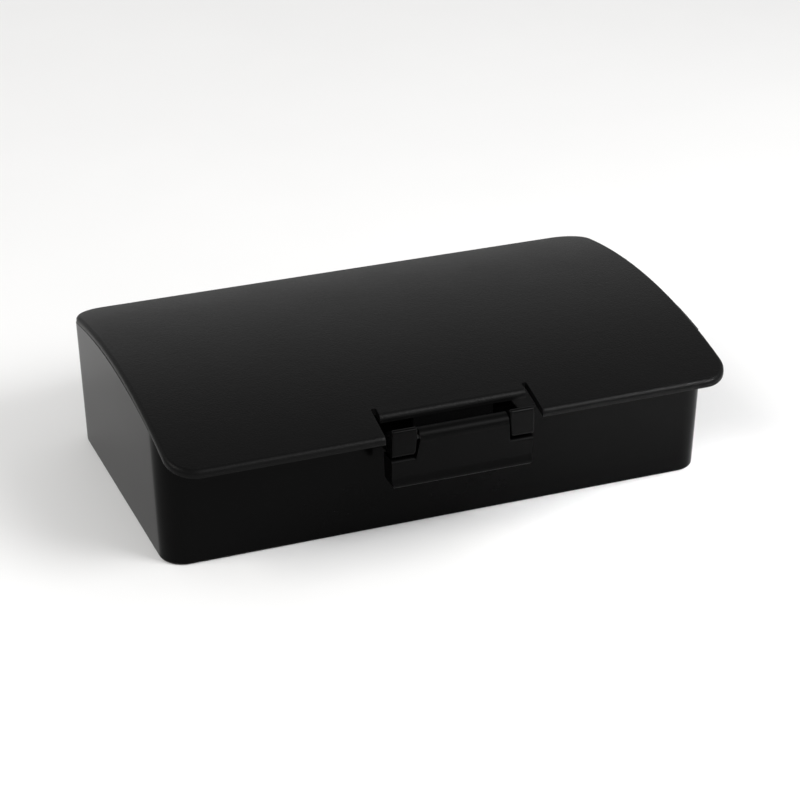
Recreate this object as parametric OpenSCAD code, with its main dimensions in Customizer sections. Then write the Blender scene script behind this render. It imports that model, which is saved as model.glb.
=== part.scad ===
// Battery box with an arched hinged lid and a thumb latch, holding four large
// round cells in two rows of two. The origin is the middle of the case's foot:
// X runs along the box, +Y towards the hinges, +Z up.

/* [Case] */
// Length of the case at its foot
case_l = 147.4; // [147:0.1:147.8]
// Width of the case at its foot
case_w = 80; // [79.8:0.1:80.4]
// Radius of the upright corners at the foot
corner_r = 6.3; // [6:0.1:6.6]
// Outward lean of the walls, in mm per mm of height
draft = 0.035; // [0.033:0.001:0.036]
// Wall thickness
wall = 2; // [1.9:0.05:2.1]
// Floor thickness
floor_t = 2; // [1.8:0.1:2]
// Radius of the two screw holes in the floor
floor_hole_r = 2.15; // [1.6:0.05:2.6]
// Distance between the two screw holes in the floor
floor_hole_gap = 70; // [60:1:80]

/* [Lid] */
// Length of the lid
lid_l = 150; // [149.8:0.1:150.4]
// Distance from the case's middle to the lid's front edge
lid_front = 53; // [52.8:0.1:53.2]
// Distance from the case's middle to the lid's back edge
lid_back = 41.6; // [41.5:0.05:41.7]
// Radius of the lid's arch, outside
lid_r = 175; // [173:1:178]
// Height of the top of the arch
crown_h = 40.8; // [40.7:0.1:41]
// Thickness of the lid
lid_t = 1.8; // [1.7:0.05:1.9]
// Radius of the lid's front corners, in plan
lid_front_r = 7.5; // [6:0.5:9]
// Radius of the lid's back corners, in plan
lid_back_r = 9; // [8:0.5:10]
// Gap between the closed lid and the walls' top edge
seat_gap = 0.15; // [0.1:0.05:0.25]

/* [Lid tongue] */
// Half width of the tongue in the lid's notch
tongue_x = 19.6; // [19.5:0.1:19.8]
// Width of the slit on each side of the tongue
slit_w = 1.4; // [1.2:0.1:1.6]
// Distance from the case's middle to the inner end of the slits
slit_y = 42.3; // [42.1:0.1:42.8]
// Distance from the case's middle to the tongue's edge
tongue_y = 45.5; // [45.3:0.1:45.7]
// Half width of the strap that hangs from the tongue
strap_x = 10.8; // [9:0.2:11]
// Height of the strap's lower end
strap_z = 24; // [23:0.5:24.5]

/* [Latch] */
// Sideways place of the latch and the tongue, from the case's middle
latch_x = 0.4; // [0:0.1:0.5]
// Distance from the case's middle to the latch pin
latch_y = 50.6; // [50.4:0.1:50.7]
// Height of the latch pin
latch_z = 30.4; // [30.2:0.1:30.6]
// Radius of the latch pin
latch_pin_r = 0.9; // [0.8:0.05:1]
// Radius of the lever's round head
head_r = 2.3; // [2.2:0.1:2.4]
// Half width of the lever's stem between the ears
stem_x = 11.9; // [11.7:0.1:12]
// Half width of the stem where it meets the finger plate
stem_foot_x = 12.6; // [12.3:0.1:12.8]
// Half width of the lever's finger plate
plate_x = 19.1; // [18.9:0.1:19.2]
// Height where the finger plate begins, under the ears
plate_top = 25.3; // [25.1:0.1:25.5]
// Height of the lever's lower edge
plate_foot = 17.4; // [17.2:0.1:18.2]
// Radius of the rounding along the top of the finger plate's wings
wing_r = 1.1; // [0.9:0.1:1.3]
// Thickness of the lever's plate
plate_t = 1.5; // [1.3:0.1:1.6]
// Distance the lip stands out from the plate's front
lip_out = 0.7; // [0.5:0.05:0.8]
// Distance the lever's lower edge leans in towards the case
plate_lean = 1.5; // [1.2:0.1:1.7]
// Height of the ears' tops
ear_top = 33.6; // [33.4:0.1:33.8]

/* [Hinge] */
// Distance from the case's middle to the hinge pins
hinge_y = 44.5; // [44.4:0.1:44.6]
// Height of the hinge pins
hinge_z = 31.5; // [31.3:0.1:31.6]
// Distance from the case's middle to the centre of each hinge
hinge_x = 40; // [30:1:50]
// Radius of the hinge knuckles
knuckle_r = 2.4; // [2.3:0.1:2.5]
// Radius of the hinge pins
hinge_pin_r = 1; // [0.9:0.05:1.1]
// Running clearance around a pin, on the radius
run_gap = 0.05; // [0.04:0.01:0.08]

/* [Cell tray] */
// Radius of the round seat for a cell
seat_r = 17.3; // [17.2:0.1:17.4]
// Distance from the middle to each row of cells
row_y = 17.85; // [17.7:0.05:17.9]
// Thickness of the tray's floor
tray_floor = 1.2; // [1:0.1:1.2]
// Thickness of the tray's walls
tray_wall = 1.6; // [1.4:0.1:1.6]
// Outside of the tray's left end wall, from the middle
tray_left = 71.2; // [71:0.1:71.3]
// Inside of the tray's right end wall, from the middle
tray_right = 61.8; // [61.4:0.1:62]
// Height of the tray's end walls
tray_top = 32; // [31:0.5:32]
// Height of the cross ribs and of the ridge between the rows
rib_top = 9; // [7:0.5:9]
// Distance between the two screws that hold the tray
tray_screw_gap = 112; // [106:1:114]

/* [Contacts and wiring] */
// Thickness of the contact plates
contact_t = 0.4; // [0.3:0.1:0.5]
// Free length of the contact springs
spring_l = 10; // [8:0.5:12]
// Radius of the spring wire
spring_wire = 0.4; // [0.3:0.05:0.5]
// Radius of a lead over its insulation
lead_r = 0.8; // [0.6:0.1:0.9]
// Radius of the cable hole in the rubber grommet
cable_r = 2.1; // [1.5:0.1:2.6]

/* [Hidden] */
$fn = 48;
BIG_FN = 360;
plastic = [0.17, 0.17, 0.18];
steel = [0.62, 0.63, 0.65];
nickel = [0.72, 0.7, 0.66];
brass = [0.78, 0.62, 0.3];

arch_z = crown_h - lid_r;               // height of the arch's axis
under_r = lid_r - lid_t;                // radius of the lid's underside
slit_x = tongue_x + slit_w;             // outer edge of each slit
cx = case_l / 2 - corner_r;             // axis of each rounded corner
cy = case_w / 2 - corner_r;
cell_z = floor_t + tray_floor + seat_r; // height of the cells' axes
ear_gap = 0.4;                          // between the lever's stem and each ear
ear_front = latch_y + 1.8;
ear_foot = plate_top + 0.7;
wing_front = -latch_y - head_r
    + plate_lean * (latch_z - plate_top + wing_r) / (latch_z - plate_foot - 1.9);
cheek_back = 46.4;                      // back edge of the lever's side cheeks
lug_w = 5;                              // width of each case knuckle
arm_w = 8;                              // width of each lid knuckle
slot_y = -24;                           // middle of the cable slot
slot_w = 9;
slot_foot = 21;
cable_z = 28;
block_x = 67.6;                         // middle of the terminal block
block_z = 6;                            // height of its wire holes
pole_gap = 3.8;
block_l = 12;
block_w = 7.6;
plate_z0 = 11;                          // foot and top of the contact plates
plate_z1 = 30;
boss_top = 6.5;

function under_z(y) = arch_z + sqrt(under_r * under_r - y * y);
function top_z(y) = arch_z + sqrt(lid_r * lid_r - y * y);

// A profile drawn in Y and Z, made w wide along X and centred on x.
module along_x(x, w) {
    translate([x, 0, 0]) rotate([90, 0, 90]) linear_extrude(w, center = true) children();
}

// A profile drawn in X and Z, going from y0 to y1.
module along_y(y0, y1) {
    translate([0, y1, 0]) rotate([90, 0, 0]) linear_extrude(y1 - y0) children();
}

// A rod along X between two places.
module rod_x(x0, x1, y, z, r) {
    translate([x0, y, z]) rotate([0, 90, 0]) cylinder(r = r, h = x1 - x0);
}

// Everything below an arch of radius r on the lid's axis.
module under_arch(r) {
    translate([-120, 0, arch_z]) rotate([0, 90, 0]) cylinder(r = r, h = 240, $fn = BIG_FN);
}

// A rounded block on the case's corner axes, whose corner radius goes from r0 to r1.
module block(r0, r1, z0, z1) {
    for (x = [-cx, cx], y = [-cy, cy])
        translate([x, y, z0]) cylinder(r1 = r0, r2 = r1, h = z1 - z0, $fn = 64);
    along_x(0, 2 * cx)
        polygon([[-cy - r0, z0], [cy + r0, z0], [cy + r1, z1], [-cy - r1, z1]]);
    rotate([90, 0, 0]) linear_extrude(2 * cy, center = true)
        polygon([[-cx - r0, z0], [cx + r0, z0], [cx + r1, z1], [-cx - r1, z1]]);
}

// The leaning case block, set in from the outside by a distance.
module case_block(inset, z0, z1) {
    block(corner_r - inset + draft * z0, corner_r - inset + draft * z1, z0, z1);
}

// ---- case -------------------------------------------------------------------

// One ear of the latch, in Y and Z: rounded front, and a back that slopes down to a short arm.
module ear_profile() {
    foot_r = 1.2;
    top_r = 0.8;
    crest = [-ear_front + 1.5 * top_r, ear_top - top_r * (1 - cos(30))];
    arm_z = crest[1] - (-43 - crest[0]) * tan(30);
    polygon([[-ear_front, ear_foot + foot_r], [-ear_front, ear_top - top_r], crest,
             [-43, arm_z], [-41, arm_z], [-41, ear_foot], [-ear_front + foot_r, ear_foot]]);
    translate([-ear_front + foot_r, ear_foot + foot_r]) circle(foot_r);
    translate([-ear_front + top_r, ear_top - top_r]) circle(top_r);
}

// One ear from the front: its inner side follows the lever's stem.
module ear_face() {
    inner = stem_x + ear_gap;
    polygon([[inner, 36], [inner, latch_z], [stem_foot_x + ear_gap, plate_top],
             [plate_x, plate_top], [plate_x, 36]]);
}

module ear() {
    intersection() {
        along_x(16, 10) ear_profile();
        along_y(-60, -40) ear_face();
    }
}

// A case knuckle with the web that carries it, in Y and Z.
module lug_profile() {
    translate([hinge_y, hinge_z]) circle(knuckle_r);
    polygon([[40, hinge_z + 1.4], [hinge_y, hinge_z + 1.4], [hinge_y + 1.9, hinge_z - 1.4],
             [41, hinge_z - 7], [40, hinge_z - 7]]);
}

module tub() {
    color(plastic)
    difference() {
        union() {
            intersection() {
                difference() {
                    union() {
                        block(corner_r - 0.6, corner_r + draft * 0.8, 0, 0.8);
                        case_block(0, 0.8, 42);
                    }
                    case_block(wall, floor_t, 43);
                }
                under_arch(under_r - seat_gap);
            }
            for (s = [-1, 1]) {
                translate([latch_x, 0, 0]) scale([s, 1, 1]) ear();
                for (k = [-1, 1])
                    along_x(s * hinge_x + k * (arm_w + lug_w + 0.6) / 2, lug_w) lug_profile();
                translate([s * tray_screw_gap / 2, 0, 1]) cylinder(r = 3, h = boss_top - 1);
                translate([block_x, s * (block_l / 2 + 0.8), 1.5])
                    translate([-block_w / 2, -0.6, 0]) cube([block_w, 1.2, 3.1]);
            }
        }
        // Holes for the mounting screws, the tray's screws, the hinge pins and the latch pin,
        // and the slot the grommet drops into.
        for (s = [-1, 1]) {
            translate([s * floor_hole_gap / 2, 0, -1]) cylinder(r = floor_hole_r, h = 5);
            translate([s * tray_screw_gap / 2, 0, 2.4]) cylinder(r = 1.2, h = 6);
            rod_x(s * hinge_x - 12, s * hinge_x + 12, hinge_y, hinge_z, hinge_pin_r + 0.02);
        }
        rod_x(latch_x - 17.1, latch_x + 22, -latch_y, latch_z, latch_pin_r + 0.02);
        translate([70, slot_y - slot_w / 2, slot_foot]) cube([8, slot_w, 22]);
    }
}

// ---- lid --------------------------------------------------------------------

module lid_plan() {
    x0 = lid_l / 2;
    for (s = [-1, 1]) {
        translate([s * (x0 - lid_front_r), -lid_front + lid_front_r]) circle(lid_front_r, $fn = 64);
        translate([s * (x0 - lid_back_r), lid_back - lid_back_r]) circle(lid_back_r, $fn = 64);
    }
    polygon([[-x0 + lid_front_r, -lid_front], [x0 - lid_front_r, -lid_front],
             [x0, -lid_front + lid_front_r], [x0, lid_back - lid_back_r],
             [x0 - lid_back_r, lid_back], [-x0 + lid_back_r, lid_back],
             [-x0, lid_back - lid_back_r], [-x0, -lid_front + lid_front_r]]);
}

// A strip of the arch between two radii, over a rectangle in plan.
module arch_strip(x0, x1, y0, y1, r0, r1) {
    intersection() {
        difference() {
            under_arch(r1);
            under_arch(r0);
        }
        translate([x0, y0, 20]) cube([x1 - x0, y1 - y0, 30]);
    }
}

// A lid knuckle with the arm that reaches it over the back wall, in Y and Z.
module arm_profile() {
    translate([hinge_y, hinge_z]) circle(knuckle_r);
    polygon([[hinge_y, hinge_z], [hinge_y + 1, hinge_z + 2.18], [lid_back - 0.6, top_z(lid_back) - 0.3],
             [lid_back - 0.6, under_z(lid_back) + 0.3], [lid_back, under_z(lid_back)],
             [hinge_y - knuckle_r, hinge_z]]);
}

module lid() {
    nose_r = lid_t / 2;
    nose_z = (top_z(tongue_y - nose_r) + under_z(tongue_y - nose_r)) / 2;
    color(plastic)
    difference() {
        union() {
            difference() {
                intersection() {
                    difference() {
                        under_arch(lid_r);
                        under_arch(under_r);
                    }
                    translate([0, 0, 20]) linear_extrude(30) lid_plan();
                }
                translate([latch_x - slit_x, -60, 20])
                    cube([2 * slit_x, 60 - tongue_y + nose_r, 30]);
                for (s = [-1, 1])
                    translate([latch_x + s * (tongue_x + slit_w / 2) - slit_w / 2, -60, 20])
                        cube([slit_w, 60 - slit_y, 30]);
            }
            // The tongue's rounded edge.
            rod_x(latch_x - tongue_x, latch_x + tongue_x, -tongue_y + nose_r, nose_z, nose_r);
            // The strap that hangs from the tongue, and the ridge the latch holds.
            translate([latch_x - strap_x, -tongue_y + 0.2, strap_z])
                cube([2 * strap_x, 1.6, under_z(tongue_y - 0.6) + 0.6 - strap_z]);
            along_x(latch_x, 2 * strap_x - 3)
                polygon([[-tongue_y + 0.4, strap_z + 0.4], [-tongue_y - 1, strap_z + 1.3],
                         [-tongue_y - 1, strap_z + 2.3], [-tongue_y + 0.4, strap_z + 2.5]]);
            // Ribs that find the walls when the lid closes.
            arch_strip(-64, 64, -38.4, -37.2, under_r - 2.5, under_r + 0.4);
            for (s = [-1, 1])
                arch_strip(s * 71.6 - 0.6, s * 71.6 + 0.6, -12, 34, under_r - 2.5, under_r + 0.4);
            for (s = [-1, 1]) along_x(s * hinge_x, arm_w) arm_profile();
        }
        for (s = [-1, 1])
            rod_x(s * hinge_x - 12, s * hinge_x + 12, hinge_y, hinge_z, hinge_pin_r + run_gap);
    }
}

// ---- latch ------------------------------------------------------------------

// The lever's plate in Y and Z: it leans in towards its foot, then flares out to a round lip.
module plate_profile() {
    front = latch_y + head_r;
    foot = front - plate_lean;
    lip_r = 1;
    lip = foot + lip_out - lip_r;
    polygon([[-front, latch_z], [-foot, plate_foot + 3], [-foot - lip_out * 0.12, plate_foot + 2.4],
             [-foot - lip_out * 0.4, plate_foot + 1.8], [-lip - lip_r * 0.9, plate_foot + 1.2],
             [-lip, plate_foot + lip_r], [-lip + lip_r, plate_foot + lip_r],
             [-foot + plate_t, plate_foot + 1.9], [-front + plate_t, latch_z]]);
    translate([-lip, plate_foot + lip_r]) circle(lip_r);
}

// The lever from the front: a stem that widens down to the finger plate, whose sides draw in.
module lever_face() {
    for (s = [-1, 1])
        polygon([[0, 34], [s * stem_x, 34], [s * stem_x, latch_z], [s * stem_foot_x, plate_top],
                 [s * plate_x, plate_top], [s * (plate_x - 0.3), plate_foot + 1],
                 [s * (plate_x - 0.9), plate_foot], [0, plate_foot]]);
}

module cheek_profile() {
    polygon([[-51.6, plate_top], [-cheek_back, plate_top], [-cheek_back, plate_foot + 1.1],
             [-cheek_back - 0.7, plate_foot + 0.4], [-50.6, plate_foot + 0.1],
             [-51, plate_foot + 1.6]]);
}

// The sharp corner that is taken off along the top of a wing.
module wing_corner() {
    difference() {
        translate([wing_front - 1, plate_top - wing_r]) square([1 + wing_r, wing_r + 1]);
        translate([wing_front + wing_r, plate_top - wing_r]) circle(wing_r);
    }
}

module latch_lever() {
    color(plastic)
    translate([latch_x, 0, 0])
    difference() {
        union() {
            rod_x(-stem_x, stem_x, -latch_y, latch_z, head_r);
            intersection() {
                union() {
                    along_x(0, 2 * plate_x) plate_profile();
                    // Side cheeks, and the shelf that closes each wing's top.
                    for (s = [-1, 1]) {
                        along_x(s * (plate_x - 0.7), 1.4) cheek_profile();
                        translate([s * 15.8 - 3.8, -51.6, plate_top - 1.2])
                            cube([7.6, 51.6 - cheek_back, 1.2]);
                    }
                }
                along_y(-60, -40) lever_face();
            }
            // Stiffening ribs, and the nose that holds the strap's ridge.
            for (s = [-1, 1])
                along_x(s * 5, 1.2)
                    polygon([[-51.6, latch_z - 1], [-48.9, latch_z - 3],
                             [-49.1, plate_foot + 2.6], [-50.4, plate_foot + 1.2]]);
            along_x(0, 16)
                polygon([[-latch_y - 1, latch_z - 1.4], [-latch_y + 2, latch_z - 1.4],
                         [-latch_y + 3.6, latch_z - 2.6], [-latch_y + 3.6, latch_z - 3.4],
                         [-latch_y - 1, latch_z - 4.2]]);
        }
        rod_x(-20, 20, -latch_y, latch_z, latch_pin_r + run_gap);
        for (s = [-1, 1]) along_x(s * (stem_foot_x + 5), 10) wing_corner();
    }
}

module latch_pin() {
    color(steel)
    rod_x(latch_x - 17, latch_x + plate_x - 0.1, -latch_y, latch_z, latch_pin_r);
}

module hinge_pin(s) {
    half = arm_w / 2 + 0.3 + lug_w;
    color(steel) rod_x(s * hinge_x - half, s * hinge_x + half, hinge_y, hinge_z, hinge_pin_r);
}

// ---- cell tray --------------------------------------------------------------

module cell_tray() {
    base = floor_t + tray_floor;
    right = tray_right + tray_wall;
    color(plastic)
    difference() {
        intersection() {
            union() {
                translate([-tray_left, -38, floor_t]) cube([tray_left + right, 76, tray_floor]);
                for (x = [-tray_left, tray_right])
                    translate([x, -37.6, floor_t]) cube([tray_wall, 75.2, tray_top - floor_t]);
                for (s = [-1, 1])
                    translate([-tray_left, s * 36.8 - tray_wall / 2, floor_t])
                        cube([tray_left + right, tray_wall, 12]);
                translate([-tray_left, -0.7, floor_t]) cube([tray_left + right, 1.4, rib_top - floor_t]);
                for (x = [-51 : 31 : 42])
                    difference() {
                        translate([x, -37, floor_t]) cube([1.2, 74, rib_top - floor_t]);
                        for (s = [-1, 1]) rod_x(x - 1, x + 3, s * row_y, cell_z, seat_r);
                    }
                for (s = [-1, 1])
                    translate([s * tray_screw_gap / 2, 0, floor_t])
                        cylinder(r = 4.3, h = boss_top + 1.2 - floor_t);
            }
            case_block(wall + 0.3, 0, 42);
        }
        for (s = [-1, 1]) {
            translate([s * tray_screw_gap / 2, 0, 0]) {
                cylinder(r = 3.1, h = boss_top);
                cylinder(r = 1.4, h = 12);
                // Room for the screw's head in the middle rib.
                translate([0, 0, boss_top + 1.2]) cylinder(r = 2.9, h = 6);
            }
            translate([s * floor_hole_gap / 2, 0, 0]) cylinder(r = 5, h = 12);
        }
        // Holes for the rivets of the contact plates.
        for (p = rivet_places) rod_x(p[0] - 3, p[0] + 3, p[1], p[2], 1.02);
    }
}

// Pan-head screw standing on its head's seat at the origin, pointing down.
module pan_screw(shank_r, length, head_r, head_h) {
    difference() {
        union() {
            translate([0, 0, -length]) cylinder(r = shank_r, h = length + 0.1);
            cylinder(r1 = head_r, r2 = head_r * 0.8, h = head_h);
        }
        for (a = [0, 90]) rotate([0, 0, a])
            translate([-head_r * 0.55, -head_r * 0.12, head_h * 0.45])
                cube([head_r * 1.1, head_r * 0.24, head_h]);
    }
}

module tray_screws() {
    color(steel)
    for (s = [-1, 1])
        translate([s * tray_screw_gap / 2, 0, boss_top + 1.2]) pan_screw(1.18, 5, 2.3, 1.4);
}

// ---- contacts ---------------------------------------------------------------

// Wall face that each rivet stands on: x, y, z and the way its plate faces.
rivet_x = tray_left - tray_wall;
rivet_places = [[-rivet_x, -5, 26, 1], [-rivet_x, 5, 26, 1],
                [tray_right, row_y - 6, 26, -1], [tray_right, 6 - row_y, 26, -1]];

// Flat plate on an end wall, from y0 to y1, facing the cells in direction f.
module contact_sheet(x, f, y0, y1) {
    translate([f > 0 ? x : x - contact_t, y0, plate_z0])
        cube([contact_t, y1 - y0, plate_z1 - plate_z0]);
}

// Raised button that touches a cell's cap.
module button(x, f, y) {
    translate([x + f * (contact_t - 0.1), y, cell_z]) rotate([0, f * 90, 0])
        cylinder(r1 = 3.6, r2 = 2.8, h = 1.3);
}

module rivet_holes() {
    for (p = rivet_places) rod_x(p[0] - 3, p[0] + 3, p[1], p[2], 1.02);
}

// Strip from a plate's top edge, folded over the end wall to take a lead.
module solder_tab(y) {
    x = tray_right - contact_t;
    translate([x, y - 2.5, plate_z1 - 1]) cube([contact_t, 5, tray_top - plate_z1 + 1 + contact_t]);
    translate([x, y - 2.5, tray_top]) cube([4, 5, contact_t]);
}

module bridge_plate() {
    color(nickel)
    difference() {
        union() {
            contact_sheet(-rivet_x, 1, -row_y - 8, row_y + 8);
            button(-rivet_x, 1, -row_y);
        }
        rivet_holes();
    }
}

module end_plate(y) {
    color(nickel)
    difference() {
        union() {
            contact_sheet(tray_right, -1, y - 8, y + 8);
            solder_tab(y);
            if (y > 0) button(tray_right, -1, y);
        }
        rivet_holes();
    }
}

// Conical coil of round wire standing on the origin, wide end down.
module coil(r0, r1, h, turns, wire) {
    n = turns * 20;
    m = 8;
    pts = [for (i = [0 : n])
              let (a = 360 * turns * i / n, r = r0 + (r1 - r0) * i / n,
                   z = wire + (h - 2 * wire) * i / n)
              for (j = [0 : m - 1]) let (b = 360 * j / m, q = r + wire * cos(b))
                  [q * cos(a), q * sin(a), z + wire * sin(b)]];
    sides = [for (i = [0 : n - 1], j = [0 : m - 1]) let (k = (j + 1) % m)
                [i * m + j, i * m + k, (i + 1) * m + k, (i + 1) * m + j]];
    polyhedron(pts, concat([[for (j = [m - 1 : -1 : 0]) j]], sides,
                           [[for (j = [0 : m - 1]) n * m + j]]), convexity = 10);
}

module bridge_spring() {
    color(nickel) translate([-rivet_x + contact_t, row_y, cell_z]) rotate([0, 90, 0])
        coil(6, 3, spring_l, 4, spring_wire);
}

module negative_spring() {
    color(nickel) translate([tray_right - contact_t, -row_y, cell_z]) rotate([0, -90, 0])
        coil(6, 3, spring_l, 4, spring_wire);
}

module plate_rivets() {
    color(brass)
    for (p = rivet_places)
        difference() {
            union() {
                rod_x(p[0] - (p[3] > 0 ? tray_wall : contact_t), p[0] + (p[3] > 0 ? contact_t : tray_wall),
                      p[1], p[2], 1);
                rod_x(p[3] > 0 ? p[0] + contact_t : p[0] - contact_t - 0.5,
                      p[3] > 0 ? p[0] + contact_t + 0.5 : p[0] - contact_t, p[1], p[2], 1.8);
            }
            rod_x(p[0] - 4, p[0] + 4, p[1], p[2], 0.5);
        }
}

// ---- wiring -----------------------------------------------------------------

// Smooth curve through a list of points, four steps to each stretch.
function smooth(p) = let (n = len(p) - 1) concat(
    [for (i = [0 : n - 1], k = [0 : 3])
        let (t = k / 4, a = p[max(i - 1, 0)], b = p[i], c = p[i + 1], d = p[min(i + 2, n)])
        b + t / 2 * (c - a) + t * t * (a - 2.5 * b + 2 * c - 0.5 * d)
          + t * t * t * (-0.5 * a + 1.5 * b - 1.5 * c + 0.5 * d)], [p[n]]);

// Round tube along points that never run along X, with a radius for each point.
module tube(path, radii) {
    n = len(path) - 1;
    m = 12;
    pts = [for (i = [0 : n])
              let (t = path[min(i + 1, n)] - path[max(i - 1, 0)],
                   u = cross(t, [1, 0, 0]) / norm(cross(t, [1, 0, 0])), v = cross(t, u) / norm(t))
              for (j = [0 : m - 1]) path[i] + radii[i] * (cos(360 * j / m) * u + sin(360 * j / m) * v)];
    sides = [for (i = [0 : n - 1], j = [0 : m - 1]) let (k = (j + 1) % m)
                [i * m + j, (i + 1) * m + j, (i + 1) * m + k, i * m + k]];
    polyhedron(pts, concat([[for (j = [0 : m - 1]) j]], sides,
                           [[for (j = [m - 1 : -1 : 0]) n * m + j]]), convexity = 10);
}

lead_x = tray_right + 2.7;
red_x = block_x - pole_gap / 2;
black_x = block_x + pole_gap / 2;
red_route = [[lead_x, row_y, tray_top - 0.1], [lead_x + 0.1, row_y, 27], [lead_x + 0.4, row_y - 0.4, 20],
             [red_x - 0.4, row_y - 1, 12], [red_x - 0.1, 15.6, 8.2], [red_x, 13, 6.4],
             [red_x, 10, block_z], [red_x, block_l / 2 - 0.2, block_z]];
black_route = [[lead_x, -row_y, tray_top - 0.1], [lead_x + 0.1, -row_y, 29.4],
               [lead_x + 1.6, -15.8, 26.6], [black_x - 1.2, -11, 24.8], [black_x - 0.2, -4, 24],
               [black_x, 4, 23.2], [black_x, 10, 20.6], [black_x, 13.4, 16], [black_x, 14, 11.4],
               [black_x, 12.6, 7.8], [black_x, 9.8, block_z], [black_x, block_l / 2 - 0.2, block_z]];

// A lead with its bare end pushed into the terminal block.
module lead(route) {
    path = smooth(route);
    end = path[len(path) - 1];
    tube(concat(path, [end - [0, 0.01, 0], end - [0, 3.6, 0]]),
         concat([for (p = path) lead_r], [0.45, 0.45]));
}

module lead_red() {
    color([0.6, 0.05, 0.04]) lead(red_route);
}

module lead_black() {
    color([0.05, 0.05, 0.05]) lead(black_route);
}

module terminal_block() {
    color([0.12, 0.12, 0.12])
    difference() {
        translate([block_x - block_w / 2, -block_l / 2, floor_t]) cube([block_w, block_l, 9]);
        for (x = [red_x, black_x]) {
            translate([x, 20, block_z]) rotate([90, 0, 0]) cylinder(r = 1.55, h = 40);
            for (y = [-3, 3]) translate([x, y, block_z]) cylinder(r = 1.4, h = 12);
        }
        translate([block_x - 0.3, -block_l, floor_t + 6.4]) cube([0.6, 2 * block_l, 5]);
    }
}

module terminal_clamps() {
    color(brass)
    for (x = [red_x, black_x])
        difference() {
            translate([x, block_l / 2 - 0.8, block_z]) rotate([90, 0, 0])
                cylinder(r = 1.5, h = block_l - 1.6);
            translate([x, block_l, block_z]) rotate([90, 0, 0]) cylinder(r = 0.9, h = 2 * block_l);
            for (y = [-3, 3]) translate([x, y, block_z]) cylinder(r = 0.75, h = 5);
        }
}

module terminal_screws() {
    color(steel)
    for (x = [red_x, black_x], y = [-3, 3])
        translate([x, y, block_z + 2.6])
            difference() {
                union() {
                    translate([0, 0, -2]) cylinder(r = 0.73, h = 2.1);
                    cylinder(r = 1.3, h = 1.2);
                }
                translate([-2, -0.2, 0.7]) cube([4, 0.4, 1]);
            }
}

module cable_grommet() {
    inside = case_l / 2 - wall + draft * (slot_foot - 1.4) - 0.05;
    outside = case_l / 2 + draft * 37.5;
    flange_w = slot_w + 3.4;
    color([0.05, 0.05, 0.05])
    difference() {
        intersection() {
            union() {
                translate([inside - 1.4, slot_y - slot_w / 2 + 0.1, slot_foot + 0.1])
                    cube([outside - inside + 2.8, slot_w - 0.2, 18]);
                for (x = [inside - 1.4, outside])
                    translate([x, slot_y - flange_w / 2, slot_foot - 1.4])
                        cube([1.4, flange_w, 18]);
            }
            under_arch(under_r - 0.4);
        }
        rod_x(60, 90, slot_y, cable_z, cable_r);
    }
}

tub();
lid();
latch_lever();
latch_pin();
hinge_pin(-1);  // hinge_pin_left
hinge_pin(1);  // hinge_pin_right
cell_tray();
tray_screws();
bridge_plate();
end_plate(row_y);  // positive_plate
end_plate(-row_y);  // negative_plate
bridge_spring();
negative_spring();
plate_rivets();
lead_red();
lead_black();
terminal_block();
terminal_clamps();
terminal_screws();
cable_grommet();
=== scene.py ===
"""Looks for the battery box: smooth moulded shells, lever, coils and leads around the CAD frame.

Shapes are made in millimetres in the row frame (X along the box, +Y to the hinges, +Z up)
and scaled to metres when a piece is finished."""

import math

import bmesh
import bpy
from mathutils import Matrix, Vector


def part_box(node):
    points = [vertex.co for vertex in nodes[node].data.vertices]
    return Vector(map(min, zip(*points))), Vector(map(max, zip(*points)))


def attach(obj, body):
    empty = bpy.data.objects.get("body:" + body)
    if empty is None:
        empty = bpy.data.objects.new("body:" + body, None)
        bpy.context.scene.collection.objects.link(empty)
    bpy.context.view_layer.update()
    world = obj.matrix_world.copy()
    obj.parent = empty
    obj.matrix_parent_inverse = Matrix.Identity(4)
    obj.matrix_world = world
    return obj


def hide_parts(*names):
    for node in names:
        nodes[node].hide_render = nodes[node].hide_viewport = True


MM = 0.001
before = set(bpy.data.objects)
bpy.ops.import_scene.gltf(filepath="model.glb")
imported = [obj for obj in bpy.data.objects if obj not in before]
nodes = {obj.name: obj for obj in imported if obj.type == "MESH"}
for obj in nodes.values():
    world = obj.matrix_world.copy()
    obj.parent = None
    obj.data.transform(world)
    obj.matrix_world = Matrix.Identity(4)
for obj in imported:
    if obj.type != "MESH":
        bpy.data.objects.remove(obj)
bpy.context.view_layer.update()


def box_mm(node):
    """Lowest and highest corner of a CAD node, in millimetres."""
    lo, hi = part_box(node)
    return lo / MM, hi / MM


LID_LO, LID_HI = box_mm("lid")
LEVER_LO, LEVER_HI = box_mm("latch_lever")
PIN_LO, PIN_HI = box_mm("hinge_pin_left")

# Case
DRAFT = 0.035
CORNER_R = 6.3
WALL = 2.0
FLOOR = 2.0
CORNER_X = 73.7 - CORNER_R
CORNER_Y = 40.0 - CORNER_R
FLOOR_HOLE_X, FLOOR_HOLE_R = 35, 2.15
BOSS_X, BOSS_TOP, BOSS_R, BOSS_HOLE_R = 56, 6.5, 3, 1.2         # tray screws
FENCE_Y, FENCE_HALF = 6.8, 0.6                                  # beside the terminal block
GROMMET_SLOT = (70, 78, -28.5, -19.5, 21, 43)
# Cells and leads
ROW_Y, CELL_Z = 17.85, 20.5
# Lid
LID_R = 175.0
LID_T = 1.8
ARCH_Z = LID_HI.z - LID_R
LID_BACK = 41.6
SEAT_GAP = 0.08
EDGE_R, TONGUE_R = 1.1, 1.2
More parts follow.
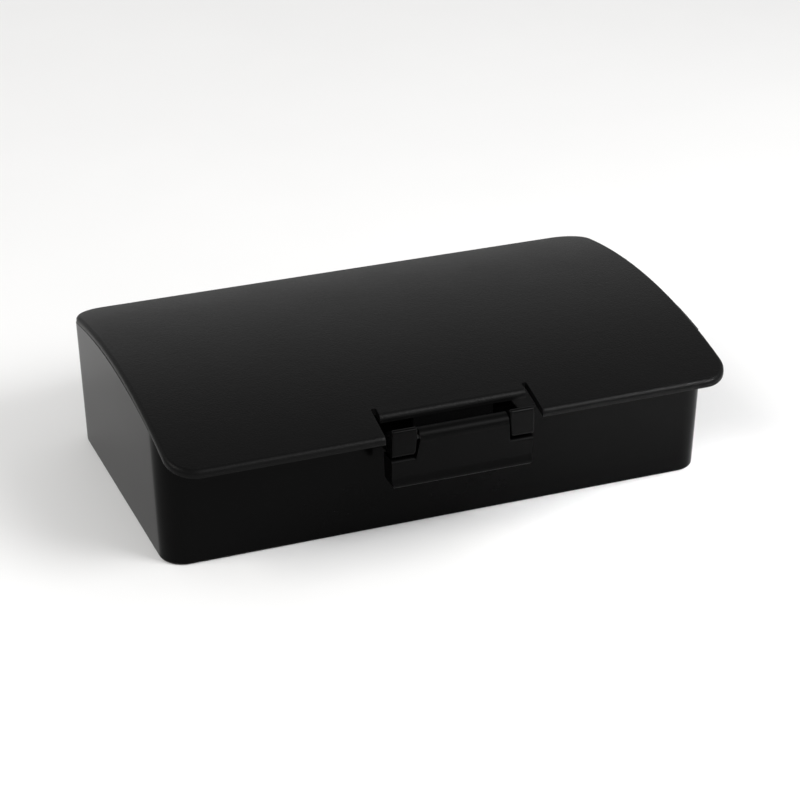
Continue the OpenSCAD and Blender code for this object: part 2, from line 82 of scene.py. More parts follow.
# Latch, tongue and slits
LATCH_X = (LEVER_LO.x + LEVER_HI.x) / 2
LATCH_Y, LATCH_Z, HEAD_R = -50.6, 30.4, 2.3
PLATE_X = (LEVER_HI.x - LEVER_LO.x) / 2
STEM_X, STEM_FOOT_X = 11.9, 12.6
PLATE_TOP, PLATE_FOOT, PLATE_T, PLATE_LEAN = 25.3, LEVER_LO.z, 1.5, 1.5
WING_R, LIP_R, LIP_OUT = 1.1, 1.0, 0.7
CHEEK_BACK = LEVER_HI.y
EAR_GAP, EAR_FRONT, EAR_FOOT, EAR_TOP = 0.4, LATCH_Y - 1.8, PLATE_TOP + 0.7, 33.6
TONGUE_X, TONGUE_Y, SLIT_X, SLIT_Y = 19.6, -45.5, 21.0, -42.3
STRAP_X, STRAP_Z = 10.8, LID_LO.z
# Hinge
HINGE_Y, HINGE_Z = (PIN_LO.y + PIN_HI.y) / 2, (PIN_LO.z + PIN_HI.z) / 2
HINGE_X = -(PIN_LO.x + PIN_HI.x) / 2
KNUCKLE_R, PIN_R, ARM_W, LUG_W, HINGE_GAP, BORE_HALF = 2.4, 1.0, 8.0, 5.0, 0.6, 12


def under_z(y):
    """Height of the lid's underside."""
    return ARCH_Z + math.sqrt((LID_R - LID_T) ** 2 - y * y)


# ---- mesh tools ---------------------------------------------------------------


def arc(cx, cy, r, a0, a1, n):
    """Points of an arc from angle a0 to a1, in degrees."""
    angles = [math.radians(a0 + (a1 - a0) * i / n) for i in range(n + 1)]
    return [(cx + r * math.cos(a), cy + r * math.sin(a)) for a in angles]


def prism(points, lo, hi, axis="z"):
    """Closed solid of an outline, from lo to hi along an axis. An x prism's outline is in y, z."""
    bm = bmesh.new()
    rows = []
    for h in (lo, hi):
        rows.append([bm.verts.new((h, a, b) if axis == "x" else (a, b, h)) for a, b in points])
    bm.faces.new(rows[0][::-1])
    bm.faces.new(rows[1])
    for i in range(len(points)):
        j = (i + 1) % len(points)
        bm.faces.new((rows[0][i], rows[0][j], rows[1][j], rows[1][i]))
    bmesh.ops.recalc_face_normals(bm, faces=bm.faces)
    return bm


def block(x0, x1, y0, y1, z0, z1):
    return prism([(x0, y0), (x1, y0), (x1, y1), (x0, y1)], z0, z1)


def rod(x0, x1, y, z, r, n=40):
    """Cylinder along X."""
    return prism(arc(y, z, r, 0, 360 - 360 / n, n - 1), x0, x1, "x")


def post(x, y, z0, z1, r, n=40):
    """Cylinder along Z."""
    return prism(arc(x, y, r, 0, 360 - 360 / n, n - 1), z0, z1)


def soften(bm, width, segments=3, angle=35, keep=lambda e: True):
    """Rounds the edges sharper than an angle."""
    edges = [e for e in bm.edges
             if e.is_manifold and e.calc_face_angle() > math.radians(angle) and keep(e)]
    bmesh.ops.bevel(bm, geom=edges, offset=width, offset_type="OFFSET", segments=segments,
                    profile=0.5, affect="EDGES", clamp_overlap=True)
    return bm


def work_object(bm):
    mesh = bpy.data.meshes.new("work")
    bm.to_mesh(mesh)
    bm.free()
    o = bpy.data.objects.new("work", mesh)
    bpy.context.scene.collection.objects.link(o)
    return o


def combine(base, tool, operation):
    """base with the tool joined to it or cut from it. Takes and returns bmeshes."""
    a, b = work_object(base), work_object(tool)
    mod = a.modifiers.new("combine", "BOOLEAN")
    mod.object, mod.operation, mod.solver = b, operation, "EXACT"
    result = bmesh.new()
    result.from_object(a, bpy.context.evaluated_depsgraph_get())
    for o in (a, b):
        mesh = o.data
        bpy.data.objects.remove(o)
        bpy.data.meshes.remove(mesh)
    bmesh.ops.remove_doubles(result, verts=result.verts, dist=1e-4)
    return result


def tidy(bm, angle=1.0):
    """Merges the flat pieces that a boolean leaves."""
    bmesh.ops.dissolve_limit(bm, angle_limit=math.radians(angle), verts=bm.verts, edges=bm.edges)
    return bm


def join(base, *tools):
    for tool in tools:
        base = combine(base, tool, "UNION")
    return base


def cut(base, *tools):
    for tool in tools:
        base = combine(base, tool, "DIFFERENCE")
    return base


def finish_piece(name, bm, body, material, stands_for=(), smooth=32):
    """Turns a bmesh in millimetres into a shown piece on a body."""
    bmesh.ops.recalc_face_normals(bm, faces=bm.faces)
    mesh = bpy.data.meshes.new(name)
    bm.to_mesh(mesh)
    bm.free()
    mesh.transform(Matrix.Scale(MM, 4))
    mesh.shade_smooth()
    mesh.set_sharp_from_angle(angle=math.radians(smooth))
    mesh.materials.append(material)
    o = bpy.data.objects.new(name, mesh)
    bpy.context.scene.collection.objects.link(o)
    normals = o.modifiers.new("normals", "WEIGHTED_NORMAL")
    normals.keep_sharp = True
    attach(o, body)
    if stands_for:
        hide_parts(*stands_for)
    return o


# ---- materials ------------------------------------------------------------------


class Nodes:
    """A material's node tree, with short calls to add and link nodes."""

    def __init__(self, name):
        self.material = bpy.data.materials.new(name)
        self.material.use_nodes = True
        self.tree = self.material.node_tree
        self.shader = self.tree.nodes["Principled BSDF"]
        self.place = self.add("ShaderNodeTexCoord").outputs["Object"]

    def add(self, kind, **settings):
        node = self.tree.nodes.new(kind)
        for key, value in settings.items():
            if key in node.inputs:
                node.inputs[key].default_value = value
            else:
                setattr(node, key, value)
        return node

    def link(self, a, b):
        self.tree.links.new(a, b)

    def noise(self, scale, detail=3.0, stretch=(1, 1, 1), rough=0.5):
        """Noise of that many cells per metre, stretched along the axes."""
        mapping = self.add("ShaderNodeMapping")
        mapping.inputs["Scale"].default_value = stretch
        self.link(self.place, mapping.inputs["Vector"])
        n = self.add("ShaderNodeTexNoise")
        n.inputs["Scale"].default_value = scale
        n.inputs["Detail"].default_value = detail
        n.inputs["Roughness"].default_value = rough
        self.link(mapping.outputs["Vector"], n.inputs["Vector"])
        return n.outputs["Fac"]

    def ramp(self, fac, lo, hi, a, b):
        """Maps a value from lo..hi to a..b."""
        m = self.add("ShaderNodeMapRange")
        for key, value in (("From Min", lo), ("From Max", hi), ("To Min", a), ("To Max", b)):
            m.inputs[key].default_value = value
        self.link(fac, m.inputs["Value"])
        return m.outputs["Result"]

    def math(self, operation, a, b):
        m = self.add("ShaderNodeMath", operation=operation)
        for socket, value in zip(m.inputs, (a, b)):
            if isinstance(value, (int, float)):
                socket.default_value = value
            else:
                self.link(value, socket)
        return m.outputs[0]

    def mix(self, fac, a, b):
        m = self.add("ShaderNodeMix", data_type="RGBA")
        for i, value in ((0, fac), (6, a), (7, b)):
            if isinstance(value, (int, float)):
                m.inputs[i].default_value = value
            elif isinstance(value, tuple):
                m.inputs[i].default_value = (*value, 1)
            else:
                self.link(value, m.inputs[i])
        return m.outputs[2]

    def bump(self, height, distance, strength=1.0, after=None):
        b = self.add("ShaderNodeBump")
        b.inputs["Strength"].default_value = strength
        b.inputs["Distance"].default_value = distance
        self.link(height, b.inputs["Height"])
        if after is not None:
            self.link(after, b.inputs["Normal"])
        return b.outputs["Normal"]

    def edges(self, lo=0.52, hi=0.6):
        """1 on outer edges, where the plastics get a painted highlight; 0 elsewhere."""
        g = self.add("ShaderNodeNewGeometry")
        return self.ramp(g.outputs["Pointiness"], lo, hi, 0.0, 1.0)

    def set(self, key, value):
        if hasattr(value, "is_linked"):
            self.link(value, self.shader.inputs[key])
        else:
            self.shader.inputs[key].default_value = value


def plastic(name, grey, rough, grain, grain_depth, gloss=0.25, streaks=0.0):
    """Black moulded plastic: grain cells of that size in metres, clouded gloss and a painted
    highlight on the outer edges.
    """
    n = Nodes(name)
    clouds = n.noise(60, 4)
    fine = n.noise(1 / grain, 2.5, rough=0.55)
    peel = n.noise(0.22 / grain, 2)
    edge_highlight_mask = n.edges()
    tone = n.mix(clouds, (grey * 0.85, grey * 0.85, grey * 0.87),
                 (grey * 1.15, grey * 1.14, grey * 1.15))
    # painted highlight: the outer edges are coloured lighter than the rest of the plastic
    edge_highlight_colour = (grey * 2.2, grey * 2.2, grey * 2.2)
    n.set("Base Color", n.mix(n.math("MULTIPLY", edge_highlight_mask, 0.5), tone, edge_highlight_colour))
    roughness = n.math("ADD", n.ramp(clouds, 0.3, 0.7, rough - 0.015, rough + 0.015),
                       n.ramp(fine, 0.3, 0.7, -0.02, 0.02))
    if streaks:
        drawn = n.noise(900, 3, (1, 1, 0.02))
        roughness = n.math("ADD", roughness, n.ramp(drawn, 0.35, 0.65, -streaks, streaks))
    n.set("Roughness", roughness)
    n.set("Specular IOR Level", gloss)
    n.set("Normal", n.bump(fine, grain_depth, 1.0, n.bump(peel, grain_depth * 0.8, 0.5)))
    return n.material


def metal(name, colour, rough, brushed=(1, 1, 1), scale=2500):
    """Plated or drawn metal with fine lines along an axis and dull patches."""
    n = Nodes(name)
    clouds = n.noise(220, 4)
    lines = n.noise(scale, 3, brushed)
    dark = tuple(c * 0.72 for c in colour)
    n.set("Base Color", n.mix(n.ramp(clouds, 0.35, 0.7, 0.0, 1.0), colour, dark))
    n.set("Metallic", 1.0)
    n.set("Roughness", n.math("ADD", n.ramp(clouds, 0.3, 0.7, rough - 0.05, rough + 0.1),
                              n.ramp(lines, 0.3, 0.7, -0.05, 0.05)))
    n.set("Normal", n.bump(lines, 0.00001, 0.6))
    return n.material


def insulation(name, colour):
    """Soft PVC with a slight ripple."""
    n = Nodes(name)
    clouds = n.noise(400, 3)
    dark = tuple(c * 0.7 for c in colour)
    n.set("Base Color", n.mix(clouds, dark, colour))
    n.set("Roughness", n.ramp(clouds, 0.3, 0.7, 0.28, 0.42))
    n.set("Normal", n.bump(n.noise(1800, 2), 0.00002, 0.5))
    return n.material


def rubber(name):
    n = Nodes(name)
    clouds = n.noise(300, 4)
    n.set("Base Color", n.mix(clouds, (0.008, 0.008, 0.008), (0.02, 0.02, 0.019)))
    n.set("Roughness", n.ramp(clouds, 0.3, 0.7, 0.68, 0.85))
    n.set("Specular IOR Level", 0.3)
    n.set("Normal", n.bump(n.noise(5000, 3), 0.00003, 0.8))
    return n.material


case_plastic = plastic("case_plastic", grey=0.0015, rough=0.15, grain=0.0004,
                       grain_depth=0.000002, gloss=0.045, streaks=0.008)
lid_plastic = plastic("lid_plastic", grey=0.0024, rough=0.38, grain=0.00045,
                      grain_depth=0.00007, gloss=0.08)
lever_plastic = plastic("lever_plastic", grey=0.0012, rough=0.35, grain=0.0004,
                        grain_depth=0.000004, gloss=0.034)
tray_plastic = plastic("tray_plastic", grey=0.010, rough=0.45, grain=0.0005,
                       grain_depth=0.00001, gloss=0.3)
block_plastic = plastic("block_plastic", grey=0.016, rough=0.40, grain=0.0005,
                        grain_depth=0.00001, gloss=0.35)
pin_steel = metal("pin_steel", (0.58, 0.58, 0.59), 0.25, (0.04, 1, 1))
screw_steel = metal("screw_steel", (0.62, 0.61, 0.6), 0.3)
nickel = metal("nickel", (0.66, 0.63, 0.57), 0.26, (1, 1, 0.05))
brass = metal("brass", (0.72, 0.5, 0.2), 0.3)
copper = metal("copper", (0.75, 0.36, 0.2), 0.32)
red_pvc = insulation("red_insulation", (0.42, 0.015, 0.01))
black_pvc = insulation("black_insulation", (0.012, 0.012, 0.012))
grommet_rubber = rubber("grommet_rubber")


# ---- case -----------------------------------------------------------------------


def case_samples():
    """Points on the case's corner axes and the way the wall faces there, all the way round."""
    out = []

    def side(a, b, way, n):
        for i in range(n):
            t = i / n
            out.append(((a[0] + (b[0] - a[0]) * t, a[1] + (b[1] - a[1]) * t), way))

    def corner(c, a0):
        for x, y in arc(0, 0, 1, a0, a0 + 90, 14)[:-1]:
            out.append((c, (x, y)))

    cx, cy = CORNER_X, CORNER_Y
    side((cx, -cy), (cx, cy), (1, 0), 36)
    corner((cx, cy), 0)
    side((cx, cy), (-cx, cy), (0, 1), 12)
    corner((-cx, cy), 90)
    side((-cx, cy), (-cx, -cy), (-1, 0), 36)
    corner((-cx, -cy), 180)
    side((-cx, -cy), (cx, -cy), (0, -1), 12)
    corner((cx, -cy), 270)
    return out


def case_ring(inset, drop=None, z=None, share=None, foot=0.0):
    """One ring of the shell: at height z, drop below the arched top, or at a share of the wall."""
    ring = []
    for (x, y), (nx, ny) in case_samples():
        h = z if z is not None else 36.0
        for _ in range(4):
            r = CORNER_R - inset + DRAFT * h
            py = y + ny * r
            if drop is not None:
                h = under_z(py) - SEAT_GAP - drop
            elif share is not None:
                h = foot + share * (under_z(py) - SEAT_GAP - 0.4 - foot)
        ring.append((x + nx * (CORNER_R - inset + DRAFT * h), py, h))
    return ring


def make_case():
    rings = []
    edge, rim, fillet = 0.8, 0.15, 1.0
    quarter = [math.radians(90 * k / 4) for k in range(5)]
    for a in quarter:
        rings.append(case_ring(edge * (1 - math.sin(a)), z=edge * (1 - math.cos(a))))
    for share in (0.3, 0.65, 1.0):
        rings.append(case_ring(0, share=share, foot=edge))
    for a in quarter[1:]:
        rings.append(case_ring(rim * (1 - math.cos(a)), drop=rim * (1 - math.sin(a))))
    for a in quarter:
        rings.append(case_ring(WALL - rim * (1 - math.sin(a)), drop=rim * (1 - math.cos(a))))
    for share in (0.65, 0.3):
        rings.append(case_ring(WALL, share=share, foot=FLOOR))
    for a in quarter:
        rings.append(case_ring(WALL + fillet * (1 - math.cos(a)),
                               z=FLOOR + fillet * (1 - math.sin(a))))
    bm = bmesh.new()
    rows = [[bm.verts.new(p) for p in ring] for ring in rings]
    for a, b in zip(rows, rows[1:]):
        for i in range(len(a)):
            j = (i + 1) % len(a)
            bm.faces.new((a[i], a[j], b[j], b[i]))
    bm.faces.new(rows[0][::-1])
    bm.faces.new(rows[-1])
    bmesh.ops.recalc_face_normals(bm, faces=bm.faces)
    return bm


def side_on(outline, half=40.0):
    """Prism along X of an outline in y and z, centred on the latch."""
    return prism(outline, LATCH_X - half, LATCH_X + half, "x")


def face_on(outline, y0=-60.0, y1=-39.0):
    """Prism along Y of an outline in x and z, where x is measured from the latch's middle."""
    bm = prism(outline, -y1, -y0)
    for v in bm.verts:
        v.co = (LATCH_X + v.co.x, -v.co.z, v.co.y)
    bmesh.ops.recalc_face_normals(bm, faces=bm.faces)
    return bm


def ear(side):
    """One ear of the latch: rounded front, and a back that slopes down to a short arm."""
    front, foot_r, top_r = EAR_FRONT, 1.2, 0.8
    slope = math.tan(math.radians(30))
    crest = arc(front + top_r, EAR_TOP - top_r, top_r, 180, 60, 8)
    arm_y = -43.0
    arm_z = crest[-1][1] - (arm_y - crest[-1][0]) * slope
    outline = (crest + [(arm_y, arm_z), (-39.8, arm_z), (-39.8, EAR_FOOT)]
               + arc(front + foot_r, EAR_FOOT + foot_r, foot_r, 270, 180, 8)[:-1])
    inner = STEM_X + EAR_GAP
    face = [(inner, 36), (inner, LATCH_Z), (STEM_FOOT_X + EAR_GAP, PLATE_TOP), (PLATE_X, PLATE_TOP),
            (PLATE_X, 36)]
    bm = combine(side_on(outline), face_on([(side * x, z) for x, z in face][::side]), "INTERSECT")
    tidy(bm)
    return soften(bm, 0.5, 4)


def lug(x):
    """A case knuckle with its web."""
    y, z = HINGE_Y, HINGE_Z
    outline = ([(39.6, z - 7), (41, z - 7)] + arc(y, z, KNUCKLE_R, -36, 144, 20)
               + [(39.6, z + 1.4)])
    return soften(prism(outline, x - LUG_W / 2, x + LUG_W / 2, "x"), 0.2, 2)


def make_tub():
    tub = make_case()
    parts = [ear(-1), ear(1)]
    for side in (-1, 1):
        for k in (-1, 1):
            parts.append(lug(side * HINGE_X + k * (ARM_W + LUG_W + HINGE_GAP) / 2))
        parts.append(post(side * BOSS_X, 0, 1, BOSS_TOP, BOSS_R))
        parts.append(block(63.8, 71.4, side * FENCE_Y - FENCE_HALF, side * FENCE_Y + FENCE_HALF,
                           1.5, 4.6))
    tub = join(tub, *parts)
    holes = [rod(LATCH_X - 17.1, LATCH_X + 22, LATCH_Y, LATCH_Z, 0.92, 32)]
    for side in (-1, 1):
        holes.append(rod(side * HINGE_X - BORE_HALF, side * HINGE_X + BORE_HALF, HINGE_Y, HINGE_Z,
                         PIN_R + 0.02, 32))
        holes.append(post(side * FLOOR_HOLE_X, 0, -1, 4, FLOOR_HOLE_R, 40))
        holes.append(post(side * BOSS_X, 0, 2.4, 8, BOSS_HOLE_R, 24))
    holes.append(block(*GROMMET_SLOT))
    return cut(tub, *holes)


finish_piece("tub_shell", make_tub(), "case", case_plastic, ["tub"])


# ---- lid ------------------------------------------------------------------------


def onto_arch(bm, step=2.0):
    """Bends a flat piece onto the lid's arch. Its z becomes its height over the underside."""
    lo = min(v.co.y for v in bm.verts)
    hi = max(v.co.y for v in bm.verts)
    y = math.ceil(lo / step + 0.25) * step
    while y < hi - 0.25 * step:
        bmesh.ops.bisect_plane(bm, geom=bm.verts[:] + bm.edges[:] + bm.faces[:], dist=1e-4,
                               plane_co=(0, y, 0), plane_no=(0, 1, 0))
        y += step
    for v in bm.verts:
        r = LID_R - LID_T + v.co.z
        v.co.z = ARCH_Z + math.sqrt(r * r - v.co.y ** 2)
    return bm


def lid_outline():
    hx, front, back, fr, br = LID_HI.x, LID_LO.y, LID_BACK, 7.5, 9.0
    return (arc(-hx + fr, front + fr, fr, 180, 270, 16) + arc(hx - fr, front + fr, fr, 270, 360, 16)
            + arc(hx - br, back - br, br, 0, 90, 16) + arc(-hx + br, back - br, br, 90, 180, 16))


def notch_outline():
    """The cut-out in front of the tongue and the two slits beside it."""
    front, r = -60.0, 0.35
    out = [(LATCH_X - SLIT_X, front)]
    for side in (-1, 1):
        a, b = sorted((side * SLIT_X, side * TONGUE_X))
        end = (arc(LATCH_X + a + r, SLIT_Y - r, r, 180, 90, 4)
               + arc(LATCH_X + b - r, SLIT_Y - r, r, 90, 0, 4))
        tongue = [(LATCH_X + side * TONGUE_X, TONGUE_Y)]
        out += end + tongue if side < 0 else tongue + end
    return out + [(LATCH_X + SLIT_X, front)]


def lid_plate():
    """The arched plate: rounded all round its top, with the notch and the slits cut through."""
    bm = prism(lid_outline(), 0, LID_T)
    soften(bm, EDGE_R, 8, 60, lambda e: all(v.co.z > LID_T - 0.01 for v in e.verts))
    soften(bm, 0.12, 2, 60, lambda e: all(v.co.z < 0.01 for v in e.verts))
    bm = cut(bm, prism(notch_outline(), -5, 5))

    def on_tongue(e):
        return all(abs(v.co.y - TONGUE_Y) < 0.01 and v.co.z > LID_T - 0.01 for v in e.verts)

    def in_slit(e):
        return all(v.co.y < SLIT_Y + 0.01 and abs(v.co.x - LATCH_X) < SLIT_X + 0.01
                   and v.co.z > 0.3 for v in e.verts)

    soften(bm, TONGUE_R, 8, 60, on_tongue)
    soften(bm, 0.2, 2, 50, in_slit)
    for x in (-60, LATCH_X - SLIT_X - 1, LATCH_X + SLIT_X + 1, 60):
        bmesh.ops.bisect_plane(bm, geom=bm.verts[:] + bm.edges[:] + bm.faces[:], dist=1e-4,
                               plane_co=(x, 0, 0), plane_no=(1, 0, 0))
    return onto_arch(bm)


def arm(x):
    """A lid knuckle with the arm that reaches it over the back wall."""
    y, z = HINGE_Y, HINGE_Z
    top = ARCH_Z + math.sqrt(LID_R ** 2 - LID_BACK ** 2)
    outline = ([(LID_BACK - 0.6, under_z(LID_BACK) + 0.3), (LID_BACK, under_z(LID_BACK))]
               + arc(y, z, KNUCKLE_R, 180, 425, 26) + [(LID_BACK - 0.6, top - 0.3)])
    return soften(prism(outline, x - ARM_W / 2, x + ARM_W / 2, "x"), 0.2, 2)


def make_lid():
    lid = lid_plate()
    strap = soften(block(LATCH_X - STRAP_X, LATCH_X + STRAP_X, TONGUE_Y + 0.2, TONGUE_Y + 1.8,
                         STRAP_Z, under_z(TONGUE_Y) + 0.6), 0.3, 3)
    y, z = TONGUE_Y, STRAP_Z
    hook = [(y + 0.6, z + 0.4), (y - 1, z + 1.3), (y - 1, z + 2.3), (y + 0.6, z + 2.5)]
    ridge = soften(prism(hook, LATCH_X - STRAP_X + 1.5, LATCH_X + STRAP_X - 1.5, "x"), 0.2, 2)
    ribs = [onto_arch(soften(block(-64, 64, -38.4, -37.2, -2.5, 0.4), 0.25, 2))]
    for side in (-1, 1):
        rib = block(side * 71.6 - 0.6, side * 71.6 + 0.6, -12, 34, -2.5, 0.4)
        ribs.append(onto_arch(soften(rib, 0.25, 2)))
    lid = join(lid, strap, ridge, *ribs, arm(-HINGE_X), arm(HINGE_X))
    return cut(lid, *[rod(s * HINGE_X - BORE_HALF, s * HINGE_X + BORE_HALF, HINGE_Y, HINGE_Z,
                          PIN_R + 0.05, 32) for s in (-1, 1)])


finish_piece("lid_shell", make_lid(), "lid", lid_plastic, ["lid"])


# ---- latch lever ------------------------------------------------------------------


def make_lever():
    front = LATCH_Y - HEAD_R
    foot = front + PLATE_LEAN
    flare = [(foot - LIP_OUT * (1 - math.cos(math.radians(a))), PLATE_FOOT + 3 - a / 75 * 1.75)
             for a in range(0, 80, 15)]
    plate = ([(front, LATCH_Z)] + flare
             + arc(foot - LIP_OUT + LIP_R, PLATE_FOOT + LIP_R, LIP_R, 155, 360, 20)
             + [(foot + PLATE_T, PLATE_FOOT + 1.9), (front + PLATE_T, LATCH_Z)])
    back, behind = CHEEK_BACK, -51.6
    cheek = [(behind, PLATE_TOP), (back, PLATE_TOP), (back, PLATE_FOOT + 1.1),
             (back - 0.7, PLATE_FOOT + 0.4), (-50.6, PLATE_FOOT + 0.1), (-51.0, PLATE_FOOT + 1.6)]
    half = [(STEM_X, 34.0), (STEM_X, LATCH_Z), (STEM_FOOT_X, PLATE_TOP), (PLATE_X, PLATE_TOP),
            (PLATE_X - 0.3, PLATE_FOOT + 1.0), (PLATE_X - 0.6, PLATE_FOOT + 0.3),
            (PLATE_X - 0.9, PLATE_FOOT)]
    face = half + [(-x, z) for x, z in half[::-1]]
    lever = side_on(plate)
    for s in (-1, 1):
        x0, x1 = sorted((LATCH_X + s * (PLATE_X - 1.4), LATCH_X + s * (PLATE_X + 1)))
        lever = join(lever, prism(cheek, x0, x1, "x"))
        x0, x1 = sorted((LATCH_X + s * 12.0, LATCH_X + s * (PLATE_X + 1)))
        lever = join(lever, block(x0, x1, behind, back, PLATE_TOP - 1.2, PLATE_TOP))
    lever = combine(lever, face_on(face), "INTERSECT")
    z = PLATE_TOP - WING_R
    y = front + PLATE_LEAN * (LATCH_Z - z) / (LATCH_Z - PLATE_FOOT - 1.9) + WING_R
    corner = [(y - 9, z)] + arc(y, z, WING_R, 180, 90, 8) + [(y, z + 9), (y - 9, z + 9)]
    for s in (-1, 1):
        x0, x1 = sorted((LATCH_X + s * STEM_FOOT_X, LATCH_X + s * (PLATE_X + 1)))
        lever = cut(lever, prism(corner, x0, x1, "x"))
    parts = [rod(LATCH_X - STEM_X, LATCH_X + STEM_X, LATCH_Y, LATCH_Z, HEAD_R, 64)]
    for s in (-1, 1):
        x = LATCH_X + s * 5
        gusset = [(behind, LATCH_Z - 1), (-50.4, PLATE_FOOT + 1.2), (-49.1, PLATE_FOOT + 2.6),
                  (-48.9, LATCH_Z - 3)]
        parts.append(prism(gusset, x - 0.6, x + 0.6, "x"))
    y, z = LATCH_Y, LATCH_Z
    parts.append(prism([(y - 1, z - 4.2), (y + 3.6, z - 3.4), (y + 3.6, z - 2.6), (y + 2, z - 1.4),
                        (y - 1, z - 1.4)], LATCH_X - 8, LATCH_X + 8, "x"))
    lever = tidy(join(lever, *parts))
    soften(lever, 0.3, 3, 40)
    return cut(lever, rod(LATCH_X - 20, LATCH_X + 20, LATCH_Y, LATCH_Z, 0.95, 32))


finish_piece("lever_shell", make_lever(), "latch", lever_plastic, ["latch_lever"])


# ---- inside: coils and leads --------------------------------------------------------


def sweep(name, points, r, body, material, stands_for=(), sides=14):
    """Round wire along points in millimetres, as a mesh, with the frame carried along it."""
    bm = bmesh.new()
    pts = [Vector(p) for p in points]
    last = len(pts) - 1
    ways = [(pts[min(i + 1, last)] - pts[max(i - 1, 0)]).normalized() for i in range(last + 1)]
    u = ways[0].orthogonal().normalized()
    rows = []
    for p, t in zip(pts, ways):
        u = (u - t * u.dot(t)).normalized()
        v = t.cross(u)
        rows.append([bm.verts.new(p + r * (math.cos(2 * math.pi * j / sides) * u
                                           + math.sin(2 * math.pi * j / sides) * v))
                     for j in range(sides)])
    for a, b in zip(rows, rows[1:]):
        for j in range(sides):
            k = (j + 1) % sides
            bm.faces.new((a[j], a[k], b[k], b[j]))
    bm.faces.new(rows[0][::-1])
    bm.faces.new(rows[-1])
    return finish_piece(name, bm, body, material, stands_for, smooth=50)


def smooth_route(points, steps=8):
    """Catmull-Rom curve through the points."""
    p = [Vector(q) for q in points]
    n = len(p) - 1
    out = []
    for i in range(n):
        a, b, c, d = p[max(i - 1, 0)], p[i], p[i + 1], p[min(i + 2, n)]
        for k in range(steps):
            t = k / steps
            out.append(b + t / 2 * (c - a) + t * t * (a - 2.5 * b + 2 * c - 0.5 * d)
                       + t ** 3 * (-0.5 * a + 1.5 * b - 1.5 * c + 0.5 * d))
    return out + [p[n]]


def coil(node, name, way):
    """Conical contact spring: a flat closed turn on its plate, then an open rising coil."""
    lo, hi = box_mm(node)
    wire, wide, tip, turns = 0.4, 6.0, 3.0, 4.0
    base = lo.x if way > 0 else hi.x
    y = ROW_Y * (1 if node == "bridge_spring" else -1)
    z = CELL_Z
    length = hi.x - lo.x - 2 * wire
    pts = []
    steps = int(turns * 40)
    for i in range(steps + 1):
        t = i / steps
        a = 2 * math.pi * turns * t
        rise = length * max(0.0, (t - 0.06) / 0.88)
        rise = min(rise, length)
        r = wide + (tip - wide) * t
        pts.append((base + way * (wire + rise), y + way * r * math.sin(a), z - r * math.cos(a)))
    sweep(name, pts, wire, "case", nickel, [node], sides=12)


coil("bridge_spring", "bridge_spring_coil", 1)
coil("negative_spring", "negative_spring_coil", -1)

TAB_X, TAB_Z = 64.5, 31.9
RED_X, BLACK_X, WIRE_Z, BLOCK_END = 65.7, 69.5, 6.0, 5.8
RED_ROUTE = [(TAB_X, ROW_Y, TAB_Z), (64.6, ROW_Y, 27), (64.9, 17.45, 20), (65.3, 16.85, 12),
             (65.6, 15.6, 8.2), (RED_X, 13, 6.4), (RED_X, 10, WIRE_Z), (RED_X, BLOCK_END, WIRE_Z)]
BLACK_ROUTE = [(TAB_X, -ROW_Y, TAB_Z), (64.6, -ROW_Y, 29.4), (66.1, -15.8, 26.6),
               (68.3, -11, 24.8), (69.3, -4, 24), (BLACK_X, 4, 23.2), (BLACK_X, 10, 20.6),
               (BLACK_X, 13.4, 16), (BLACK_X, 14, 11.4), (BLACK_X, 12.6, 7.8),
               (BLACK_X, 9.8, WIRE_Z), (BLACK_X, BLOCK_END, WIRE_Z)]
for colour, route, material, slot in (("red", RED_ROUTE, red_pvc, "red_insulation"),
                                      ("black", BLACK_ROUTE, black_pvc, "black_insulation")):
    sweep("lead_%s_wire" % colour, smooth_route(route), 0.8, "case", material,
          ["lead_" + colour])
    x, y, z = route[-1]
    strands = [(x, y + 0.3 - 0.39 * k, z) for k in range(11)]
    sweep("lead_%s_core" % colour, strands, 0.42, "case", copper)

# ---- CAD nodes that keep their shape -------------------------------------------------

FINISHES = {"latch_pin": pin_steel, "hinge_pin_left": pin_steel, "hinge_pin_right": pin_steel,
            "cell_tray": tray_plastic, "tray_screws": screw_steel, "bridge_plate": nickel,
            "positive_plate": nickel, "negative_plate": nickel, "plate_rivets": brass,
            "terminal_block": block_plastic, "terminal_clamps": brass,
            "terminal_screws": screw_steel, "cable_grommet": grommet_rubber}
ROUNDING = {"latch_pin": 0.12, "hinge_pin_left": 0.15, "hinge_pin_right": 0.15, "cell_tray": 0.2,
            "tray_screws": 0.06, "bridge_plate": 0.06, "positive_plate": 0.06,
            "negative_plate": 0.06,
            "plate_rivets": 0.06, "terminal_block": 0.15, "terminal_clamps": 0.08,
            "terminal_screws": 0.05, "cable_grommet": 0.3}
for name, material in FINISHES.items():
    o = nodes[name]
    o.data.materials.clear()
    o.data.materials.append(material)
    weld = o.modifiers.new("weld", "WELD")
    weld.merge_threshold = 1e-6
    bevel = o.modifiers.new("bevel", "BEVEL")
    bevel.width = ROUNDING[name] * MM
    bevel.segments = 2
    bevel.limit_method = "ANGLE"
    bevel.angle_limit = math.radians(40)
    bevel.harden_normals = False
    normals = o.modifiers.new("normals", "WEIGHTED_NORMAL")
    normals.keep_sharp = True


# ---- studio ---------------------------------------------------------------------------

KEY_POWER, FILL_POWER, POOL_POWER = 2.9, 27.0, 0.045
WARM = (1, 0.985, 0.955)
AZIMUTH, ELEVATION = -21.437, 26.335                            # degrees
TARGET, DISTANCE = (-7.792, -29.67, 30.0), 634.12
SENSOR, LENS = 36.0, 36.0 * 2500.48 / 800
SKY = ((0.0, 0.38), (0.3, 0.76), (0.62, 0.76), (0.9, 0.37))     # share of the way up, strength


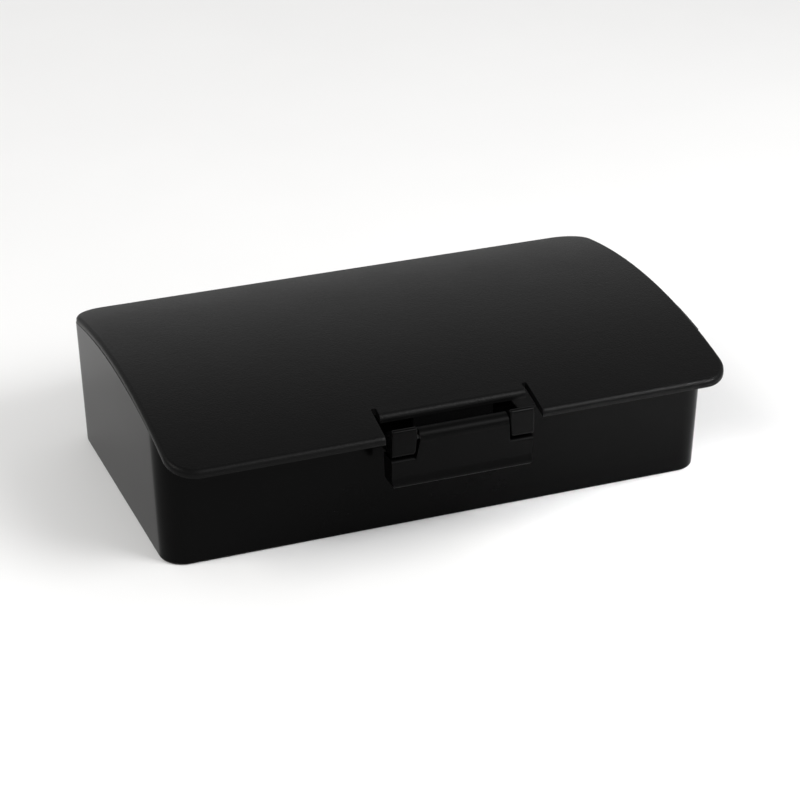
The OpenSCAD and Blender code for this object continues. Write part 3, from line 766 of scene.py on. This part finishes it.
def area_light(name, place, aim, size, power, colour=(1, 1, 1)):
    light = bpy.data.lights.new(name, "AREA")
    light.shape = "RECTANGLE"
    light.size, light.size_y = size
    light.energy = power
    light.color = colour
    o = bpy.data.objects.new(name, light)
    o.location = place
    o.rotation_mode = "QUATERNION"
    o.rotation_quaternion = (Vector(aim) - Vector(place)).to_track_quat("-Z", "Y")
    o.visible_camera = False
    bpy.context.scene.collection.objects.link(o)
    return o


def studio():
    n = Nodes("floor")
    n.set("Base Color", n.mix(n.noise(8, 3), (0.86, 0.86, 0.86), (0.9, 0.9, 0.9)))
    n.set("Roughness", n.ramp(n.noise(40, 3), 0.3, 0.7, 0.75, 0.9))
    n.set("Normal", n.bump(n.noise(1500, 3), 0.00002, 0.4))
    bm = bmesh.new()
    bmesh.ops.create_grid(bm, x_segments=4, y_segments=4, size=4)
    mesh = bpy.data.meshes.new("floor")
    bm.to_mesh(mesh)
    bm.free()
    mesh.materials.append(n.material)
    floor = bpy.data.objects.new("floor", mesh)
    bpy.context.scene.collection.objects.link(floor)

    world = bpy.data.worlds.new("studio")
    world.use_nodes = True
    tree = world.node_tree
    place = tree.nodes.new("ShaderNodeTexCoord")
    split = tree.nodes.new("ShaderNodeSeparateXYZ")
    fade = tree.nodes.new("ShaderNodeValToRGB")
    fade.color_ramp.interpolation = "EASE"
    while len(fade.color_ramp.elements) < len(SKY):
        fade.color_ramp.elements.new(0.5)
    for stop, (place_up, strength) in zip(fade.color_ramp.elements, SKY):
        stop.position, stop.color = place_up, (strength, strength, strength, 1)
    tree.links.new(place.outputs["Generated"], split.inputs["Vector"])
    tree.links.new(split.outputs["Z"], fade.inputs["Fac"])
    tree.links.new(fade.outputs["Color"], tree.nodes["Background"].inputs["Strength"])
    tree.nodes["Background"].inputs["Color"].default_value = (1, 1, 1, 1)
    bpy.context.scene.world = world
    area_light("key", (0.317, -0.381, 0.42), (0.03, -0.04, 0.02), (0.3, 0.3), KEY_POWER)
    area_light("fill", (-1.8, -0.1, 1.8), (-0.05, 0.05, 0.02), (1.2, 1.2), FILL_POWER, WARM)
    pool = area_light("pool", (0.2, -0.2, 0.22), (0.085, -0.1, 0), (0.03, 0.03), POOL_POWER)
    pool.data.spread = math.radians(28)
    bpy.context.scene.view_settings.view_transform = "Standard"


def camera():
    """Camera at the photograph's angle: 21 degrees left of the front, 26 above the floor."""
    azimuth, elevation = math.radians(AZIMUTH), math.radians(ELEVATION)
    target, distance = Vector(TARGET) * MM, DISTANCE * MM
    back = Vector((math.sin(azimuth) * math.cos(elevation),
                   -math.cos(azimuth) * math.cos(elevation), math.sin(elevation)))
    data = bpy.data.cameras.new("camera")
    data.sensor_width, data.lens = SENSOR, LENS
    data.clip_start, data.clip_end = 0.01, 50
    o = bpy.data.objects.new("camera", data)
    o.location = target + back * distance
    o.rotation_mode = "QUATERNION"
    o.rotation_quaternion = (-back).to_track_quat("-Z", "Y")
    bpy.context.scene.collection.objects.link(o)
    bpy.context.scene.camera = o


studio()
camera()
